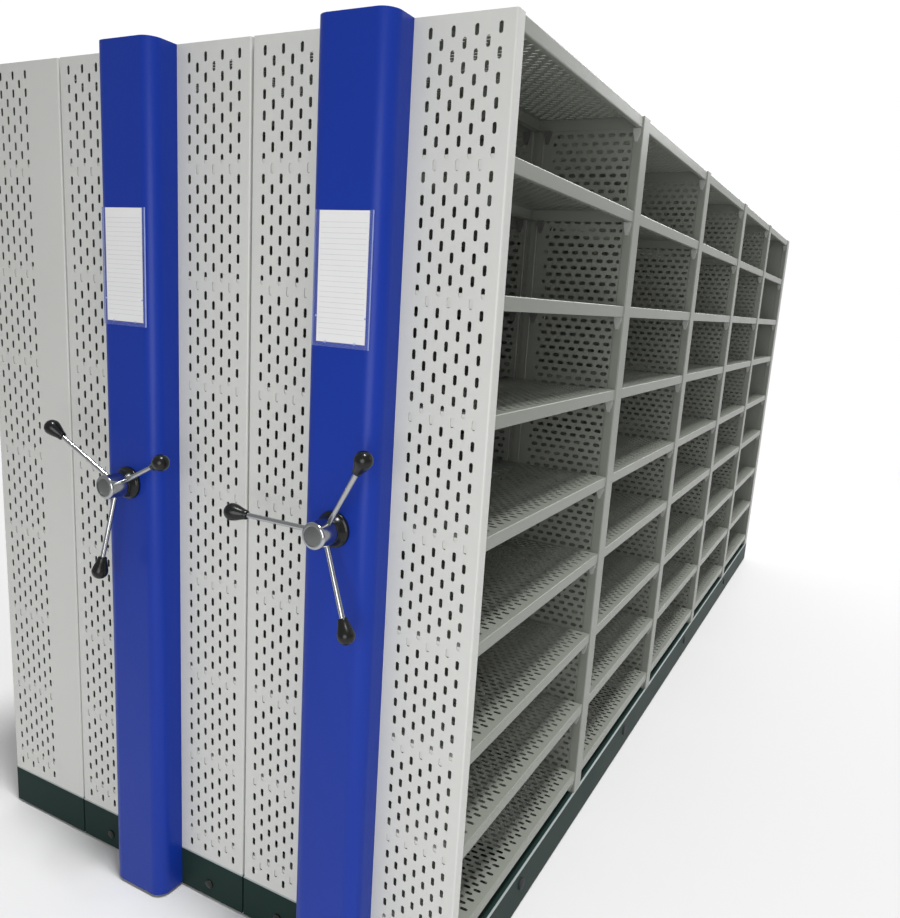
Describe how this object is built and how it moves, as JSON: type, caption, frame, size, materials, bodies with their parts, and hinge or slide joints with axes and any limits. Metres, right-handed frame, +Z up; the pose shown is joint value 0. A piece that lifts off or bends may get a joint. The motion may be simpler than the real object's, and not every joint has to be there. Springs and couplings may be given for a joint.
{
  "type": "mobile shelving compactor",
  "caption": "Hand-cranked mobile shelving compactor: a fixed end rack and double-sided shelf carriages that roll on floor rails, driven by spoked handles through chains.",
  "frame": {"origin": "middle of the bounding box at the underside of the floor rails", "axes": "+X is the way the carriages open along the rails, +Y runs from the handle ends to the far ends, +Z is up"},
  "size_m": [3.3246, 4.7558, 2.284],
  "materials": {
    "grey_paint": "satin light grey paint",
    "blue_paint": "semi-gloss deep blue paint",
    "base_paint": "dark green-grey paint",
    "steel": "machined steel",
    "dark_steel": "oiled chain steel",
    "chrome": "polished chrome",
    "black_plastic": "black moulded plastic",
    "clear_plastic": "clear acrylic"
  },
  "bodies": {
    "track": {"track_rail_1": "steel", "track_rail_2": "steel", "track_rail_3": "steel", "track_rail_4": "steel", "static_plinth": "base_paint", "static_front_panel": "grey_paint", "static_rear_panel": "grey_paint", "static_bay_1": "grey_paint", "static_bay_2": "grey_paint", "static_bay_3": "grey_paint", "static_bay_4": "grey_paint", "static_bay_5": "grey_paint"},
    "left_carriage": {"left_base_frame": "base_paint", "left_front_panel": "grey_paint", "left_rear_panel": "grey_paint", "left_bay_1": "grey_paint", "left_bay_2": "grey_paint", "left_bay_3": "grey_paint", "left_bay_4": "grey_paint", "left_bay_5": "grey_paint", "left_drive_cover": "blue_paint", "left_card_holder": "clear_plastic", "left_handle_boss": "black_plastic", "left_drive_chain": "dark_steel", "left_transfer_chain": "dark_steel"},
    "left_handle": {"left_handle_shaft": "steel", "left_handle_hub": "chrome", "left_handle_rod_1": "chrome", "left_handle_rod_2": "chrome", "left_handle_rod_3": "chrome", "left_knob_1": "black_plastic", "left_knob_2": "black_plastic", "left_knob_3": "black_plastic"},
    "left_jack": {"left_jackshaft": "steel"},
    "left_drive_axle": {"left_drive_wheelset": "steel"},
    "left_idle_axle": {"left_idle_wheelset": "steel"},
    "right_carriage": {"right_base_frame": "base_paint", "right_front_panel": "grey_paint", "right_rear_panel": "grey_paint", "right_bay_1": "grey_paint", "right_bay_2": "grey_paint", "right_bay_3": "grey_paint", "right_bay_4": "grey_paint", "right_bay_5": "grey_paint", "right_drive_cover": "blue_paint", "right_card_holder": "clear_plastic", "right_handle_boss": "black_plastic", "right_drive_chain": "dark_steel", "right_transfer_chain": "dark_steel"},
    "right_handle": {"right_handle_shaft": "steel", "right_handle_hub": "chrome", "right_handle_rod_1": "chrome", "right_handle_rod_2": "chrome", "right_handle_rod_3": "chrome", "right_knob_1": "black_plastic", "right_knob_2": "black_plastic", "right_knob_3": "black_plastic"},
    "right_jack": {"right_jackshaft": "steel"},
    "right_drive_axle": {"right_drive_wheelset": "steel"},
    "right_idle_axle": {"right_idle_wheelset": "steel"}
  },
  "joints": [
    {"name": "left_slide", "type": "slide", "parent": "track", "child": "left_carriage", "axis": [1, 0, 0], "range_m": [0, 0.8]},
    {"name": "left_handle_turn", "type": "hinge", "parent": "left_carriage", "child": "left_handle", "pos_m": [-1.01125, -2.31435, 1.226], "axis": [0, 1, 0], "continuous": true},
    {"name": "left_jack_turn", "type": "hinge", "parent": "left_carriage", "child": "left_jack", "pos_m": [-1.01125, -2.19845, 0.0703], "axis": [0, 1, 0], "continuous": true},
    {"name": "left_drive_roll", "type": "hinge", "parent": "left_carriage", "child": "left_drive_axle", "pos_m": [-0.80925, -1.74845, 0.0703], "axis": [0, 1, 0], "continuous": true},
    {"name": "left_idle_roll", "type": "hinge", "parent": "left_carriage", "child": "left_idle_axle", "pos_m": [-1.21325, -1.74845, 0.0703], "axis": [0, 1, 0], "continuous": true},
    {"name": "right_slide", "type": "slide", "parent": "left_carriage", "child": "right_carriage", "axis": [1, 0, 0], "range_m": [0, 0.8]},
    {"name": "right_handle_turn", "type": "hinge", "parent": "right_carriage", "child": "right_handle", "pos_m": [-0.36025, -2.31435, 1.226], "axis": [0, 1, 0], "continuous": true},
    {"name": "right_jack_turn", "type": "hinge", "parent": "right_carriage", "child": "right_jack", "pos_m": [-0.36025, -2.19845, 0.0703], "axis": [0, 1, 0], "continuous": true},
    {"name": "right_drive_roll", "type": "hinge", "parent": "right_carriage", "child": "right_drive_axle", "pos_m": [-0.15825, -1.74845, 0.0703], "axis": [0, 1, 0], "continuous": true},
    {"name": "right_idle_roll", "type": "hinge", "parent": "right_carriage", "child": "right_idle_axle", "pos_m": [-0.56225, -1.74845, 0.0703], "axis": [0, 1, 0], "continuous": true}
  ],
  "couplings": [
    {"joint": "left_handle_turn", "follows": "left_slide", "rad_per_m": 60},
    {"joint": "left_jack_turn", "follows": "left_slide", "rad_per_m": 30},
    {"joint": "left_drive_roll", "follows": "left_slide", "rad_per_m": 20},
    {"joint": "left_idle_roll", "follows": "left_slide", "rad_per_m": 20},
    {"joint": "right_handle_turn", "follows": "right_slide", "rad_per_m": 60},
    {"joint": "right_jack_turn", "follows": "right_slide", "rad_per_m": 30},
    {"joint": "right_drive_roll", "follows": "right_slide", "rad_per_m": 20},
    {"joint": "right_idle_roll", "follows": "right_slide", "rad_per_m": 20}
  ]
}
